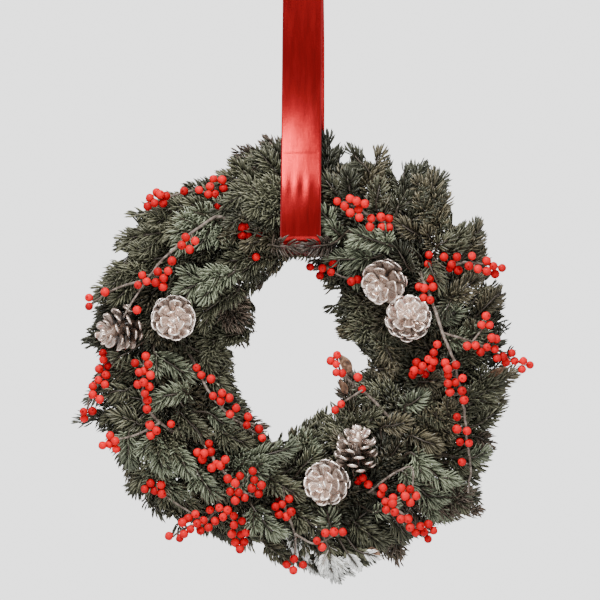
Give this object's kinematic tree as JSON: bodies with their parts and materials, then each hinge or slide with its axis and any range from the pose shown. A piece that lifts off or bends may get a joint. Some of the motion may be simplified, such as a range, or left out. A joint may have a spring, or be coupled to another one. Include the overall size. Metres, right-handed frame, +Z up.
{
  "type": "christmas wreath",
  "caption": "Hanging Christmas wreath of noble fir on a wire clamp ring, with red winterberry twigs, silver-painted pine cones and a wide red satin ribbon loop.",
  "frame": {"origin": "the inside crest of the ribbon loop, where it rests on a hook", "axes": "+Z up along the hanging ribbon, the front of the wreath faces -Y, +X to the viewer's right"},
  "size_m": [0.5407, 0.1419, 0.7413],
  "materials": {
    "green_enamelled_steel": "dark green enamel, satin",
    "red_satin_ribbon": "woven satin, glossy along the width",
    "silver_painted_cone": "dry cone scales under silver-champagne paint",
    "winterberry": "glossy red berries on grey-brown twigs",
    "noble_fir": "waxy blue-green needles, paler underneath",
    "frosted_fir": "pale frosted needles, matt"
  },
  "bodies": {
    "root": {"berry_twig_bottom": "winterberry", "berry_twig_bottom_left": "winterberry", "berry_twig_bottom_left_mass": "winterberry", "berry_twig_bottom_right": "winterberry", "berry_twig_inner_left": "winterberry", "berry_twig_inner_right": "winterberry", "berry_twig_inner_top": "winterberry", "berry_twig_left_edge": "winterberry", "berry_twig_left_long": "winterberry", "berry_twig_left_middle": "winterberry", "berry_twig_right_long": "winterberry", "berry_twig_right_middle": "winterberry", "berry_twig_top": "winterberry", "berry_twig_top_left": "winterberry", "berry_twig_top_right": "winterberry", "clamp_ring": "green_enamelled_steel", "fir_front_01": "noble_fir", "fir_front_02": "noble_fir", "fir_front_03": "noble_fir", "fir_front_04": "noble_fir", "fir_front_05": "noble_fir", "fir_front_06": "noble_fir", "fir_inner_01": "noble_fir", "fir_inner_02": "noble_fir", "fir_inner_03": "noble_fir", "fir_inner_04": "noble_fir", "fir_inner_05": "noble_fir", "fir_inner_06": "noble_fir", "fir_inner_07": "noble_fir", "fir_inner_08": "noble_fir", "fir_inner_09": "noble_fir", "fir_inner_10": "noble_fir", "fir_inner_11": "noble_fir", "fir_inner_12": "noble_fir", "fir_outer_01": "noble_fir", "fir_outer_02": "noble_fir", "fir_outer_03": "noble_fir", "fir_outer_04": "noble_fir", "fir_outer_05": "noble_fir", "fir_outer_06": "noble_fir", "fir_outer_07": "noble_fir", "fir_outer_08": "noble_fir", "fir_outer_09": "noble_fir", "fir_outer_10": "noble_fir", "fir_outer_11": "noble_fir", "fir_outer_12": "noble_fir", "fir_outer_13": "noble_fir", "fir_outer_14": "frosted_fir", "fir_outer_15": "noble_fir", "fir_outer_16": "noble_fir", "fir_outer_17": "noble_fir", "fir_outer_18": "noble_fir", "fir_outer_19": "noble_fir", "pine_cone_1": "silver_painted_cone", "pine_cone_2": "silver_painted_cone", "pine_cone_3": "silver_painted_cone", "pine_cone_4": "silver_painted_cone", "pine_cone_5": "silver_painted_cone", "pine_cone_6": "silver_painted_cone", "ribbon": "red_satin_ribbon"}
  },
  "joints": []
}
